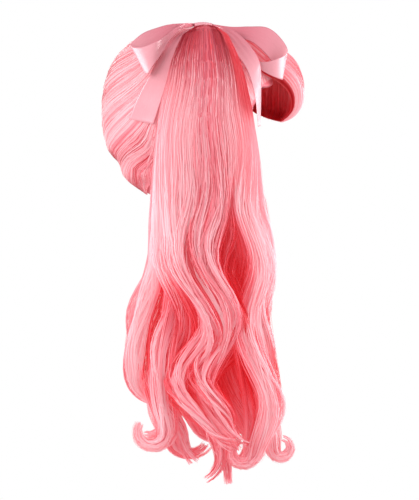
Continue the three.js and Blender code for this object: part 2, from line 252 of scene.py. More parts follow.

# %% [markdown]
# ## Hair finish
# Synthetic fibre is a coloured glass thread: a clear shine over a strong dye. Seen together the threads run
# from pale pink where they catch the light to deep red where they lie behind others, and that deep red is
# painted shade. Each strand carries its tone, shade depth and place along as numbers on its mesh, and one
# ramp turns them into its colour. A fourth number, shade, darkens the odd strand and paints shade on the
# gathered roots in old rose. A fifth, thin, adds a painted glow at the flanks, where light would shine
# through, and all the hair's emission is such a painted glow.

# %% Dye the hair, with painted shade and glow
# The red low end of the ramp is painted shade, reached where the shade depth is large.
DYE = [
    (0.0, (0.66, 0.014, 0.02)),
    (0.3, (0.80, 0.08, 0.10)),
    (0.6, (0.88, 0.22, 0.27)),
    (1.0, (0.97, 0.54, 0.585)),
]
# Old rose: painted shade at the gathered roots, and the colour of the odd darker strand.
OLD_ROSE = (0.38, 0.03, 0.065)
# FIBRE.through and FIBRE.thin set a painted glow, an emission in the hair's own colour.
FIBRE = Named(paler_tip=0.06, through=0.3, thin=0.7, duller=0.16, shine=0.35)
SHINE_TINT = (1.0, 0.62, 0.68, 1)
# glow and deep_glow are the strength of the painted glow; depth_share is how much painted shade the depth
# gives.
HAIR_DYES = rows_of("name base tone_share depth_share rough glow deep_glow", [
    ("strand_dye", 0.88, 0.6, 1.2, 0.36, 0.28, 0.7),
    ("combed_dye", 0.93, 0.65, 0.95, 0.36, 0.2, 0.0),
    ("under_dye", 0.4, 0.3, 0.3, 0.5, 0.34, 0.7),
])


def hair_finish(name, base, tone_share, depth_share, rough, glow, deep_glow):
    finish = Finish(bpy.data.materials.new(name))
    tone = finish.attribute("tone") - 0.5
    depth = finish.attribute("depth")
    along = finish.attribute("along") - 0.5
    # Painted shade: the shade depth moves the colour down the ramp to deep red.
    dye = base + tone * tone_share - depth * depth_share + along * FIBRE.paler_tip
    colour = finish.blend(finish.attribute("shade"), finish.ramp(dye, DYE), (*OLD_ROSE, 1))
    # Painted glow: more emission where the hair lies deep or thin.
    through = FIBRE.through + depth * deep_glow + finish.attribute("thin") * FIBRE.thin
    finish.shade(
        Base_Color=colour,
        Roughness=rough + tone * FIBRE.duller,
        Specular_IOR_Level=FIBRE.shine,
        Specular_Tint=SHINE_TINT,
        Emission_Color=finish.blend(through, (0, 0, 0, 1), colour, clamp=False),
        Emission_Strength=glow,
    )
    return finish.owner


strand_dye, combed_dye, under_dye = (hair_finish(**vars(dye)) for dye in HAIR_DYES)
print("hair finishes:", strand_dye.name, combed_dye.name, under_dye.name)

# %% [markdown]
# ## From curves to strands
# Blender's hair system draws strands only while rendering, and a part has to be a mesh. So each strand is a
# flat strip a little under a millimetre wide, rolled by its own angle, because neighbouring fibres never
# turn the same face to the lamp. The strips of one bundle share a mesh and lie side by side on its UV map.

# %% Make a mesh
def placed(mesh, material):
    """A mesh as an object in the scene, with its finish."""
    mesh.materials.append(material)
    print(mesh.name, len(mesh.polygons), "faces")
    return link(mesh.name, mesh)


def mesh_piece(name, points, faces, material):
    mesh = bpy.data.meshes.new(name)
    mesh.from_pydata(np.asarray(points, float).reshape(-1, 3) * MM, [], faces)
    mesh.polygons.foreach_set("use_smooth", [True] * len(mesh.polygons))
    mesh.update()
    return placed(mesh, material)


def set_marks(piece, **marks):
    """Numbers on the points of a piece, which its finish reads by name."""
    for mark, values in marks.items():
        spread = np.broadcast_to(values, len(piece.data.vertices)).astype(np.float32)
        piece.data.attributes.new(mark, "FLOAT", "POINT").data.foreach_set("value", spread)


print("meshes of the solids:", len(bpy.data.meshes))

# %% Make a bundle of strips
UV_ROWS = 4
UV_SIDES = np.array([0.2, 0.8])  # the sides of a strip within its column of the map
UV_ENDS = (0.03, 0.97)


def strand_piece(name, paths, outward, width, roll, marks, material):
    """A mesh of strips along paths, an array of strands by points by xyz. outward is the way each faces,
    and roll how far they turn from it at random."""
    strands, points = paths.shape[:2]
    turn = draw.normal(0, roll, strands)[:, None, None]
    along = unit(np.gradient(paths, axis=1))
    side = unit(np.cross(along, outward))
    face = np.cross(side, along)
    side = side * np.cos(turn) + face * np.sin(turn)
    half = 0.5 * np.broadcast_to(width, (strands, points))[..., None] * side
    corners = np.stack([paths - half, paths + half], axis=2)

    first = np.arange(strands * points).reshape(strands, points)[:, :-1].reshape(-1) * 2
    strips = np.stack([first, first + 1, first + 3, first + 2], -1)
    mesh = bpy.data.meshes.new(name)
    mesh.vertices.add(corners.size // 3)
    mesh.vertices.foreach_set("co", (corners * MM).astype(np.float32).ravel())
    mesh.loops.add(strips.size)
    mesh.loops.foreach_set("vertex_index", strips.astype(np.int32).ravel())
    mesh.polygons.add(len(strips))
    mesh.polygons.foreach_set("loop_start", np.arange(0, strips.size, 4, dtype=np.int32))
    mesh.polygons.foreach_set("use_smooth", np.ones(len(strips), bool))
    mesh.update(calc_edges=True)

    columns = -(-strands // UV_ROWS)
    place = np.arange(strands)[:, None]
    u = (place % columns)[..., None] + UV_SIDES
    v = place // columns + np.linspace(*UV_ENDS, points)[None, :]
    uv = np.stack(np.broadcast_arrays(u / columns, (v / UV_ROWS)[..., None]), -1).reshape(-1, 2)
    mesh.uv_layers.new(name="OFBake").data.foreach_set("uv", uv[strips.ravel()].astype(np.float32).ravel())

    piece = placed(mesh, material)
    for mark, values in {**marks, "along": np.linspace(0, 1, points)}.items():
        set_marks(piece, **{mark: np.repeat(np.broadcast_to(values, (strands, points)), 2)})
    return piece


print("rows of strips in a map:", UV_ROWS)

# %% [markdown]
# ## The tail's form
# The hair leaves the tie as a tight rope, arches over and fans out down the side. Further down it parts
# into locks that wave and then curl at their ends. The first table gives the fan's sections and the second
# one lock in each row, with the wave written as a cosine whose half waves can differ above and below its
# crest.

# %% Tables of the tail
TIE_LEVEL = 2.8
TAIL_Y = -117
FAN = np.array([  # x, y, z, half width, half depth
    (-8, -46.3, 0.5, 6.8, 6.8),
    (-8, -50, 5.6, 7, 7),
    (-9, -59.4, 5.8, 12.4, 5.2),
    (-12, -73, -1.5, 25, 9.5),
    (-14, -85, -17, 33, 13),
    (-17, -103, -42, 42, 17),
    (-18, -112, -66, 48, 20),
    (-19, TAIL_Y, -98, 55, 22),
    (-19, TAIL_Y, -142, 60, 23),
    (-20, -116, -190, 61, 21),
    (-20, -113, -240, 54, 17),
    (-18, -111, -300, 50, 13),
    (-15, -110, -360, 46, 11),
    (-13, -110, -420, 34, 8),
])
ARCH_STOPS = 3  # the fan's stops before it starts to hang
LOCK = Named(start=150, low=450, full=290, settle=120, roll=0.5)
LOCK_SIZE = Named(root=0.3, swell=0.35, taper=0.78, tip=0.16, tip_power=1.3)
LOCKS = rows_of("top low crest above below sway y wide deep ends turn radius", [
    (-71, -104, 255, 110, 128, 9, -116, 13, 16, 410, 85, 34),
    (-58, -68, 290, 110, 118, 9, -128, 15, 12, 470, -220, 18),
    (-58, -61, 356, 95, 70, 15, -123, 15, 12, 488, 40, 40),
    (-44, -35, 357, 97, 61, 20, -137, 14, 11, 472, 50, 40),
    (-28, -12, 357, 96, 58, 17, -131, 13, 12, 470, 45, 40),
    (-8, -8, 349, 80, 78, 18, -136, 14, 11, 468, 25, 50),
    (25, 42, 445, 85, 85, 12, -128, 15, 13, 506, -240, 14),
    (40, 48, 270, 70, 70, 5, -122, 12, 13, 415, -30, 40),
    (8, 22, 310, 110, 95, 13, -110, 16, 14, 480, -70, 30),
    (20, 48, 500, 90, 90, 8, -114, 12, 11, 500, 250, 12),
    (-50, -62, 340, 100, 90, 9, -112, 16, 14, 486, 130, 24),
    (-30, -12, 330, 100, 90, 10, -112, 15, 14, 498, -75, 34),
    (-16, -4, 340, 100, 95, 10, -103, 13, 12, 532, 10, 60),
    (-58, -66, 300, 110, 95, 12, -97, 16, 10, 450, -120, 24),
    (-24, -30, 320, 100, 90, 13, -95, 17, 10, 472, 120, 24),
    (14, 20, 300, 100, 85, 11, -96, 17, 10, 455, -110, 24),
])
print("locks:", len(LOCKS))

# %% Follow a lock from the tie to its tip
LOCK_STEPS = Named(hanging=160, curl=60)
NUDGE = 0.02  # of a stop, to find which way the fan runs


def fan_section(t):
    """The fan at stop number t: its middle, and its half width and half depth as vectors."""
    row = curve_through(FAN, t)
    along = (curve_through(FAN, t + NUDGE) - curve_through(FAN, t - NUDGE))[..., :3]
    out = unit(np.cross(along, X))
    return row[..., :3], row[..., 3:4] * X, row[..., 4:5] * out


def fan_stop(drop):
    """The fan's stop number at a drop below the tie."""
    return np.interp(drop, TIE_LEVEL - FAN[ARCH_STOPS:, 2], np.arange(ARCH_STOPS, len(FAN)))


def lock_line(lock, shift=0.0, swing=1.0):
    """The middle line of a lock as points and drops. shift moves its wave down, swing makes it wider."""
    drop = np.linspace(0, lock.ends, LOCK_STEPS.hanging)
    crest = lock.crest + shift
    half = np.where(drop < crest, lock.above, lock.below)
    phase = np.pi * (drop - crest) / half
    sway = swing * lock.sway * np.clip((drop - LOCK.start) / (LOCK.full - LOCK.start), 0, 1)
    share = (drop - LOCK.start) / (LOCK.low - LOCK.start)
    out = mix(TAIL_Y, lock.y, ease(drop, LOCK.start, LOCK.start + LOCK.settle))
    line = np.stack([
        mix(lock.top, lock.low, share) + sway * np.cos(phase),
        out + LOCK.roll * sway * np.sin(phase),
        TIE_LEVEL - drop,
    ], -1)
    last = line[-1] - line[-2]
    bend = math.radians(lock.turn)
    heading = math.atan2(last[0], -last[2]) + bend * np.linspace(0, 1, LOCK_STEPS.curl)
    step = abs(bend) * lock.radius / LOCK_STEPS.curl
    curl = np.cumsum(np.stack([np.sin(heading), 0 * heading, -np.cos(heading)], -1) * step, axis=0)
    return np.vstack([line, line[-1] + curl]), np.concatenate([drop, np.full(len(curl), lock.ends)])


def lock_size(share):
    """How thick a lock is along its length, as a share of its full size."""
    swell = mix(LOCK_SIZE.root, 1, ease(share, 0, LOCK_SIZE.swell))
    taper = ease(share, LOCK_SIZE.taper, 1) ** LOCK_SIZE.tip_power
    return swell * mix(1, LOCK_SIZE.tip, taper)


example, _ = lock_line(LOCKS[0])
print("first lock ends at", np.round(example[-1]).tolist())

# %% [markdown]
# ## The tail's inside
# Between the locks one sees more hair, red and in shade. Filling that depth with strands would waste them,
# so a closed core stands in the middle of the fan and of each lock, a little slimmer than the hair around
# it. Its dark red is painted shade.

# %% Faces of grids and tubes
def quads(rows, columns, start=0, ring=False, loop=False, flip=False):
    """Faces of a grid of points. ring joins its last column to its first one, and loop its rows."""
    place = start + np.arange(rows * columns).reshape(rows, columns)
    if ring:
        place = np.hstack([place, place[:, :1]])
    if loop:
        place = np.vstack([place, place[:1]])
    corners = [place[:-1, :-1], place[:-1, 1:], place[1:, 1:], place[1:, :-1]]
    if flip:
        corners = [corners[k] for k in (0, 3, 2, 1)]
    return np.stack(corners, -1).reshape(-1, 4).tolist()


def tube_faces(rings, sides, start=0):
    """Quads round a row of rings, with a face over each end."""
    last = start + (rings - 1) * sides
    ends = [list(range(start, start + sides))[::-1], list(range(last, last + sides))]
    return quads(rings, sides, start, ring=True) + ends


def full_turn(steps):
    return np.linspace(0, 2 * np.pi, steps, endpoint=False)


print("faces of a small tube:", len(tube_faces(3, 6)))

# %% Core of the tail
# Painted shade on the core: deep red below, old rose at the gathered top.
CORE = Named(fan=(0.2, 10.6), fan_rings=50, lock_rings=36, lock_ends=0.88, sides=12,
             slim=0.86, lock_slim=0.5, slimmer=(6, 9), deep=0.4, rooted=(-60, 0), root_shade=0.45)


def tail_core():
    angle = full_turn(CORE.sides)[None, :, None]
    stop = np.linspace(*CORE.fan, CORE.fan_rings)
    middle, wide, deep = (part[:, None] for part in fan_section(stop))
    slim = mix(CORE.slim, CORE.lock_slim, ease(stop, *CORE.slimmer))[:, None, None]
    rings = [middle + slim * (wide * np.cos(angle) + deep * np.sin(angle))]
    for lock in LOCKS:
        line, drop = lock_line(lock)
        first = np.searchsorted(drop, LOCK.start)
        last = CORE.lock_ends * LOCK_STEPS.hanging
        at = np.linspace(first, last, CORE.lock_rings).astype(int)
        across = unit(np.cross(Y, np.gradient(line, axis=0)))[at, None]
        size = CORE.lock_slim * lock_size(np.linspace(0, 1, len(at)))[:, None, None]
        oval = lock.wide * across * np.cos(angle) + lock.deep * Y * np.sin(angle)
        rings.append(line[at, None] + size * oval)
    faces = []
    start = 0
    for tube in rings:
        faces += tube_faces(*tube.shape[:2], start)
        start += tube.shape[0] * tube.shape[1]
    points = np.concatenate([tube.reshape(-1, 3) for tube in rings])
    core = mesh_piece("tail_core", points, faces, under_dye)
    rooted = ease(points[:, 2], *CORE.rooted)
    set_marks(core, tone=0.5, depth=mix(CORE.deep, 0, rooted), along=0.5, shade=CORE.root_shade * rooted)
    return core


tail_hair = [tail_core()]

# %% [markdown]
# ## The tail's strands
# Real locks split into wisps, and wisps into strands. Each strand here belongs to a wisp and each wisp to a
# lock. A wisp on the flank of its lock follows the neighbour's waves a little, so hair also fills the
# valley between the two. It shifts its wave and ends at its own length, and its strands close up towards
# the tip. High up, all of them lie on the fan, and they leave it for their lock on the way down.

# %% Follow a wisp
LOCK_PLACE = 0.6  # the locks are put in order by where they hang at this share of their way down
OUTER_Y = TAIL_Y + 2  # locks nearer the eye than this lie in the outer layer
BESIDE = 0.12  # in a wave the strands lie beside each other, more level than square to their lock


def lock_place(lock):
    return mix(lock.top, lock.low, LOCK_PLACE)


def neighbour(lock, side):
    """The next lock of the same layer to one side, or the lock itself at the end of the row."""
    layer = [other for other in LOCKS if (other.y < OUTER_Y) == (lock.y < OUTER_Y)]
    row = sorted(layer, key=lock_place)
    return row[min(max(row.index(lock) + side, 0), len(row) - 1)]


def lengths_along(line):
    return np.concatenate([[0], np.cumsum(np.linalg.norm(np.diff(line, axis=0), axis=1))])


def wisp_line(lock, place, shift, swing):
    """Middle, sideways way, drop and share below the start, at places from 0 to 1 of a lock's length."""
    line, drops = lock_line(lock, shift, swing)
    reach = lengths_along(line)
    reach /= reach[-1]
    begin = reach[np.searchsorted(drops, LOCK.start)]
    square = unit(np.cross(np.gradient(line, axis=0), Y))
    hanging, curl = LOCK_STEPS.hanging, LOCK_STEPS.curl
    curled = ease(np.arange(len(line)), hanging, hanging + curl / 3)
    across = unit(mix(X, square, mix(BESIDE, 1, curled)[:, None]))
    middle, sideways = (np.stack([np.interp(place, reach, part[:, k]) for k in range(3)], -1)
                        for part in (line, across))
    share = np.clip((place - begin) / (1 - begin), 0, 1)
    return middle, unit(sideways), np.interp(place, reach, drops), share


row = [round(lock_place(lock)) for lock in LOCKS if lock.y < OUTER_Y]
print("outer locks, from back to front:", sorted(row))

# %% Lay a wisp in its lock
STRAND_POINTS = Named(arch=5, hanging=33)
WISP = Named(begin=0.02, ends=(0.95, 1.0), ragged=0.018, shortest=0.85, tipward=1.25,
             shift=6, swing=0.1, near_face=0.72, twist=1.5)
OWN_WAVES = 0.85  # how far across a lock its own waves are followed
REAR_REACH = 0.4  # the rearmost lock hangs close, and reaches only so far back
PART = (0.5, 0.8)  # between these shares of their length, neighbours that lean together part again
# Some wisps cross to the next lock and come back near the tip.
CROSSING = Named(share=0.3, over=(0.4, 0.62), begins=(0.1, 0.45), until=(0.5, 0.9))
SKIN = Named(flat=0.9, layer=(0.75, 1.0), sunk=1.4)  # wisps lie in the skin of a lock, and sink between two
GATHER = Named(high=0.34, low=0.2, begins=0.35)  # half the width of a wisp, as a share of its lock
TIP = Named(begins=0.72, size=0.28)  # the strands of a lock stay apart until here, and so close they come
STRAY = Named(share=0.04, times=4.0, sway=0.7, turns=(5, 9))  # a strand's own small waves
STROLL = Named(sway=2.2, wave=(90, 160), phase=(0, 6))  # and those of a whole wisp
CALM = Named(until=(0.05, 0.5), tip=(0.8, 1), share=0.7)  # such waves are smaller at the top and the tip


def each(count, low=0.0, high=1.0):
    """One even draw for each strand."""
    return draw.uniform(low, high, (count, 1))


def vary(count, spread):
    """One draw round zero for each strand."""
    return draw.normal(0, spread, (count, 1))


def any_turn(count):
    return each(count, 0, 2 * np.pi)


def wisp_in_lock(lock, slot, count):
    """A wisp below the fan. slot is its place across the lock, where 1 is the lock's own edge."""
    ends = np.clip(draw.uniform(*WISP.ends) + vary(count, WISP.ragged), WISP.shortest, 1.0)
    steps = 1 - (1 - np.linspace(0, 1, STRAND_POINTS.hanging)) ** WISP.tipward
    place = WISP.begin + (ends - WISP.begin) * steps[None, :]
    shift = draw.normal(0, WISP.shift)
    swing = draw.normal(1, WISP.swing)
    middle, sideways, drop, share = wisp_line(lock, place, shift, swing)
    beside = neighbour(lock, 1 if slot > 0 else -1)
    last = beside is lock
    lean = 0.0 if last else max(0.0, abs(slot) - OWN_WAVES)
    if lean:
        together = lean * (1 - ease(share, *PART))
        if draw.uniform() < CROSSING.share:
            across_valley = ease(share, *CROSSING.begins) * (1 - ease(share, *CROSSING.until))
            together = mix(together, draw.uniform(*CROSSING.over), across_valley)
        aside = wisp_line(beside, place, shift, swing)
        middle = mix(middle, aside[0], together[..., None])
        sideways = unit(mix(sideways, aside[1], together[..., None]))

    outer = lock.y < OUTER_Y
    facing = -1 if outer == (draw.uniform() < WISP.near_face) else 1
    slot_a = np.clip(slot, -REAR_REACH if last else -OWN_WAVES, OWN_WAVES)
    out = math.sqrt(1 - slot_a**2 * SKIN.flat) * draw.uniform(*SKIN.layer)
    gather = mix(GATHER.high, GATHER.low, ease(share, GATHER.begins, 1))
    own = np.sqrt(each(count))
    turn = any_turn(count) + draw.normal(0, WISP.twist) * share
    beside_middle = own * np.cos(turn)
    a = slot_a + gather * beside_middle
    b = facing * (out - SKIN.sunk * lean) + gather * own * np.sin(turn)
    size = mix(1, TIP.size, ease(share, TIP.begins, 1))[..., None]
    low = middle + size * (lock.wide * a[..., None] * sideways + lock.deep * b[..., None] * Y)

    stray = np.where(each(count) < STRAY.share, STRAY.times, 1.0)
    loose = vary(count, STRAY.sway) * stray * np.sin(each(count, *STRAY.turns) * share + any_turn(count))
    stroll = draw.normal(0, STROLL.sway)
    stroll = stroll * np.sin(2 * np.pi * drop / draw.uniform(*STROLL.wave) + draw.uniform(*STROLL.phase))
    free = ease(share, *CALM.until) * (1 - CALM.share * ease(share, *CALM.tip))
    paths = low + ((loose + stroll) * free)[..., None] * sideways
    return Named(paths=paths, middle=middle, drop=drop, facing=facing, lean=lean, last=last,
                 beside=beside_middle)


print("points of a strand:", STRAND_POINTS.arch + STRAND_POINTS.hanging)

# %% Lay a wisp on the fan
SPREAD = Named(place=0.35, wide=1.1, own=0.25, stop=9, most=0.985)  # across the fan's widest stop
FAN_LAYER = (0.76, 1.03)  # squares of how far out strands lie
RIPPLE = Named(size=0.016, turns=(0.4, 1.0))
FAN_WAVE = Named(sway=0.1, turns=1.5, begins=4, slant=1.5, own=0.15, grows=(5, 8))


def wisp_on_fan(lock, slot, facing, drop):
    """The same strands on the fan, from the tie down: their paths, the fan's middle and its stops."""
    count = len(drop)
    spread = mix(lock.top, lock.low, SPREAD.place)
    spread = spread + lock.wide * (SPREAD.wide * slot + vary(count, SPREAD.own))
    widest = FAN[SPREAD.stop]
    u = np.clip((spread - widest[0]) / widest[3], -SPREAD.most, SPREAD.most)
    round_out = np.sqrt(1 - u**2)
    layer = np.sqrt(each(count, *FAN_LAYER))
    arch = np.linspace(0, ARCH_STOPS, STRAND_POINTS.arch, endpoint=False)
    stop = np.concatenate([np.broadcast_to(arch, (count, len(arch))), fan_stop(drop)], axis=1)
    ripple = vary(count, RIPPLE.size) * np.sin(stop * each(count, *RIPPLE.turns) + any_turn(count))
    phase = FAN_WAVE.turns * (stop - FAN_WAVE.begins) + FAN_WAVE.slant * u
    wave = FAN_WAVE.sway * np.sin(phase + draw.normal(0, FAN_WAVE.own)) * ease(stop, *FAN_WAVE.grows)
    middle, wide, deep = fan_section(stop)
    across = np.clip(u * layer + (ripple + wave) * round_out, -1, 1)
    paths = middle + wide * across[..., None] - facing * deep * (round_out * layer)[..., None]
    return paths, middle, stop


print("the fan is widest at", round(TIE_LEVEL - FAN[SPREAD.stop, 2]), "mm below the tie")

# %% Join the two
LEAVE_FAN = (110, 250)  # drops between which a strand passes from the fan to its lock
TONE = Named(wisp=0.1, strand=0.15, limits=(-0.1, 1.1))
# Painted shade: how much deeper red the hair is drawn between locks or wisps.
VALLEY = Named(lock=1.2, side=0.4, begins=0.3, grows=(6, 9), wisp=0.1)


def wisp_strands(lock, slot, count):
    """Paths, outward ways, tones and valleys of one wisp. The valleys are painted shade."""
    wisp = wisp_in_lock(lock, slot, count)
    paths, hearts, stop = wisp_on_fan(lock, slot, wisp.facing, wisp.drop)
    arch = STRAND_POINTS.arch
    leave = ease(wisp.drop, *LEAVE_FAN)[..., None]
    paths[:, arch:] = mix(paths[:, arch:], wisp.paths, leave)
    hearts[:, arch:] = mix(hearts[:, arch:], wisp.middle, leave)
    tone = np.clip(0.5 + draw.normal(0, TONE.wisp) + vary(count, TONE.strand), *TONE.limits)
    beside = np.pad(wisp.beside, ((0, 0), (arch, 0)), "edge")
    valley = VALLEY.lock * wisp.lean * ease(stop, *fan_stop(LEAVE_FAN)) + VALLEY.wisp * beside**2
    if not wisp.last:
        valley += VALLEY.side * max(0.0, abs(slot) - VALLEY.begins) * ease(stop, *VALLEY.grows)
    return paths, unit(paths - hearts), tone + 0 * stop, valley


print("one wisp:", wisp_strands(LOCKS[0], 0.0, 3)[0].shape)

# %% Comb the tail
COMB = Named(wisps=24, strands=23, reach=1.35, uneven=0.08)  # wisps across a lock, and strands in a wisp

slots = np.linspace(-COMB.reach, COMB.reach, COMB.wisps)
bundles = [wisp_strands(lock, slot + draw.normal(0, COMB.uneven), COMB.strands)
           for lock in LOCKS for slot in slots]
paths, outward, tone, valley = (np.concatenate(part) for part in zip(*bundles))
print("strands of the tail:", len(paths))

# %% [markdown]
# ## Painted shade and light
# The inside of the tail is painted deep red, as the shade between the locks, and it glows a little. The
# strands are measured level by level: each level has an oval that just holds them, and how far inside that
# oval a point lies is its depth. At the flanks the hair is painted paler, with a painted glow, as where
# light shines through it.

# %% Measure how deep the strands lie
LEVEL = Named(step=20, holds=(1.5, 98.5), least=4)  # an oval holds the strands between these percentiles


def buried(paths):
    """How deep each point lies in the oval of its level, from 0 to 1, and how far across, from -1 to 1."""
    x, y, z = np.moveaxis(paths, -1, 0)
    down = (z.max() - z) / LEVEL.step
    level = np.floor(down).astype(int)
    spans = np.array([np.percentile(paths[level == k][:, :2], LEVEL.holds, axis=0)
                      for k in range(level.max() + 1)])
    middle = spans.mean(1)
    half = np.maximum(np.diff(spans, axis=1)[:, 0] / 2, LEVEL.least)

    def read(column):
        return np.interp(down - 0.5, np.arange(len(column)), column)

    across = (x - read(middle[:, 0])) / read(half[:, 0])
    through = (y - read(middle[:, 1])) / read(half[:, 1])
    return np.clip(1 - np.hypot(across, through), 0, 1), np.clip(across, -1, 1)


inside, across = buried(paths)
print("mean depth:", round(float(inside.mean()), 2))

# %% Colour the strands
# Painted shade: the gathered top is darker, down to such drops.
ROOT_SHADE = Named(deep=0.37, dark=0.42, until=(75, 175), strand=(0, 2.2))
DARK_STRANDS = Named(share=0.08, shade=0.28, tone=0.5)
# The middle is thickest, and it is given painted shade, deeper than the flanks.
MIDDLE = Named(deep=0.12, across=(0.1, 0.5), begins=(60, 140), until=(170, 250))
# Painted light: to both sides of the middle the hair is paler, and further down only at the very sides.
FLANK = Named(tone=0.74, across=(0.1, 0.6), drop=(150, 280), shift=0.4, thin_power=2.5)
# Painted shade: the valleys are less deep red higher up and at the ends, and not the same on each strand.
RED = Named(most=0.62, high=0.74, drop=(240, 350), ends=(415, 490), fade=0.8, strand=(0.75, 1.2))
# Painted shade and glow: behind the ribbon the hair is drawn deep red and glows.
RIBBON_SIDE = Named(across=(0.62, 0.82), drop=(85, 130), deep=0.27, thin=0.2)
# The waves below are looser, and a painted glow stands for light coming through them.
LOW = Named(drop=(250, 360), deep=0.05, thin=0.34, flank=0.55)

count = len(paths)
drop = TIE_LEVEL - paths[..., 2]
to_side = np.abs(across)
low = ease(drop, *LOW.drop)
rooted = 1 - ease(drop, 0, each(count, *ROOT_SHADE.until))
ribbon_side = ease(across, *RIBBON_SIDE.across) * (1 - ease(drop, *RIBBON_SIDE.drop))
hanging = (1 - rooted) * (1 - ribbon_side)

own = each(count, *RED.strand)
red = np.clip(inside + valley, 0, RED.most) * mix(RED.high, 1, ease(drop, *RED.drop))
red = red * (1 - RED.fade * ease(drop, *RED.ends))
middle = ease(drop, *MIDDLE.begins) * (1 - ease(drop, *MIDDLE.until)) * (1 - ease(to_side, *MIDDLE.across))
# Painted shade: the shade depth of each point, from the valleys, the middle and the gathered top.
depth = mix(own * (red + MIDDLE.deep * middle), ROOT_SHADE.deep, rooted)
depth = mix(depth, RIBBON_SIDE.deep, ribbon_side) + LOW.deep * low

dark = each(count) < DARK_STRANDS.share
# Painted light: the flanks are paler in tone.
to_flank = to_side - FLANK.shift * ease(drop, *FLANK.drop)
paler = FLANK.tone * mix(1, LOW.flank, low) * ease(to_flank, *FLANK.across) * hanging
tone = tone + paler - DARK_STRANDS.tone * dark
# Painted glow at the flanks, behind the ribbon and in the waves below.
thin = np.maximum(to_side ** FLANK.thin_power * hanging, RIBBON_SIDE.thin * ribbon_side)
thin = mix(thin, LOW.thin, low)
root_dark = ROOT_SHADE.dark * rooted * each(count, *ROOT_SHADE.strand)
shade = np.maximum(DARK_STRANDS.shade * dark, root_dark) * (1 - ribbon_side)
print("dark strands:", int(dark.sum()))

# %% Cut the tail into pieces
STRAND = Named(width=0.75, tip=0.6, tapers=(0.88, 1), roll=0.2)
LOCKS_PER_PIECE = 4

width = STRAND.width * (1 - STRAND.tip * ease(np.linspace(0, 1, paths.shape[1]), *STRAND.tapers))
per_piece = LOCKS_PER_PIECE * COMB.wisps * COMB.strands
for number in range(len(LOCKS) // LOCKS_PER_PIECE):
    part = slice(number * per_piece, (number + 1) * per_piece)
    marks = {"tone": tone[part], "depth": depth[part], "shade": shade[part], "thin": thin[part]}
    tail_hair.append(strand_piece(f"tail_strands_{number + 1}", paths[part], outward[part], width,
                                  STRAND.roll, marks, strand_dye))

# %% [markdown]
# ## The crown's form
# The crown is a ball of hair with its own reach to each side, squarer at the upper back and creased above
# the nape. Any place on it is named by a way out from its middle. The hairline is a table of how far the
# rim dips below level at each turn round it.

# %% Form of the crown
HOLLOW = Named(x=0, z=-98, front=95, back=96, side=78, up=98, down=128)
HAIR = Named(x=-18, z=-93, front=121, back=111, side=90, up=108, down=126)
FULL_BACK = Named(squarer=0.45, backward=1.6, upward=2, level=0.4)
ROOT = Named(x=-8, y=-46)
EDGE = Named(share=0.4, within=13, power=0.7)
NAPE_FOLD = Named(z=-158, high=14, deep=6.5, begins=-30, whole=-70)
HAIRLINE = np.array([(0, -29), (45, -21), (72, 7), (96, 3), (125, 22), (152, 43), (180, 50)])

root_way = np.array([(ROOT.x - HAIR.x) / HAIR.front, ROOT.y / HAIR.side, 0])
root_way[2] = math.sqrt(1 - root_way @ root_way)


def on_form(form, way, squarer=0.0):
    x, y, z = np.moveaxis(way, -1, 0)
    upper_back = np.clip(-FULL_BACK.backward * x, 0, 1) * np.clip(
        FULL_BACK.upward * z + FULL_BACK.level, 0, 1)
    power = 2 + squarer * upper_back
    reach = (np.hypot(x, y) ** power + np.abs(z) ** power) ** (-1 / power)
    return np.stack([
        form.x + reach * x * np.where(x > 0, form.front, form.back),
        reach * y * form.side,
        form.z + reach * z * np.where(z > 0, form.up, form.down),
    ], -1)


def way_at(around, rise):
    """The way out at a turn round the crown and a rise above level, both in degrees."""
    turn, lift = np.radians(around), np.radians(rise)
    return np.stack([np.cos(turn) * np.cos(lift), np.sin(turn) * np.cos(lift), np.sin(lift)], -1)


def rim_way(around):
    place = np.abs((np.asarray(around, float) + 180) % 360 - 180)
    row = np.clip(np.searchsorted(HAIRLINE[:, 0], place), 1, len(HAIRLINE) - 1)
    step = ease(place, HAIRLINE[row - 1, 0], HAIRLINE[row, 0])
    return way_at(around, -mix(HAIRLINE[row - 1, 1], HAIRLINE[row, 1], step))


RIM = rim_way(np.arange(-180, 180, 4))


def crown_faces(way):
    """The outer and inner faces along a way, thinned within some degrees of the rim."""
    to_rim = np.degrees(np.arccos(np.clip((way @ RIM.T).max(-1), -1, 1)))
    inner = on_form(HOLLOW, way)
    outer = on_form(HAIR, way, FULL_BACK.squarer)
    behind = np.clip((outer[..., 0] - NAPE_FOLD.begins) / (NAPE_FOLD.whole - NAPE_FOLD.begins), 0, 1)
    fold = NAPE_FOLD.deep * behind * np.exp(-(((outer[..., 2] - NAPE_FOLD.z) / NAPE_FOLD.high) ** 2))
    thin = mix(EDGE.share, 1, ease(to_rim, 0, EDGE.within) ** EDGE.power)
    return mix(inner, outer - way * fold[..., None], thin[..., None]), inner


print("hair leaves the crown at", np.round(on_form(HAIR, root_way), 1).tolist())

# %% [markdown]
# ## The crown's shell and its cap
# Under the combed strands lies the thickness of the hair, down to a cap that is open at the face and the
# nape. Both are closed walls between two faces of the crown, so one function makes them. The real cap is a
# net with rows of hair sewn to it. Wave textures are enough for that: broad bands for the rows, fine ones
# for the threads.

# %% Cap finish
CAP_DYE = [(0.1, (0.5, 0.08, 0.11)), (0.6, (0.86, 0.3, 0.35))]  # seams, and rows between them
WAVE_SPAN = 0.314  # metres from band to band in a wave texture of scale 1
SPAN = Named(rows=0.008, threads=0.0022)
SEWN = Named(rows=0.7, threads=0.15)  # how much each kind of band shows

cap_net = Finish(bpy.data.materials.new("cap_net"))
place = cap_net.node("ShaderNodeTexCoord", output="Object")


def bands(direction, span):
    return cap_net.node("ShaderNodeTexWave", {"wave_type": "BANDS", "bands_direction": direction},
                        {"Vector": place, "Scale": WAVE_SPAN / span, "Distortion": 0.8}, output="Fac")


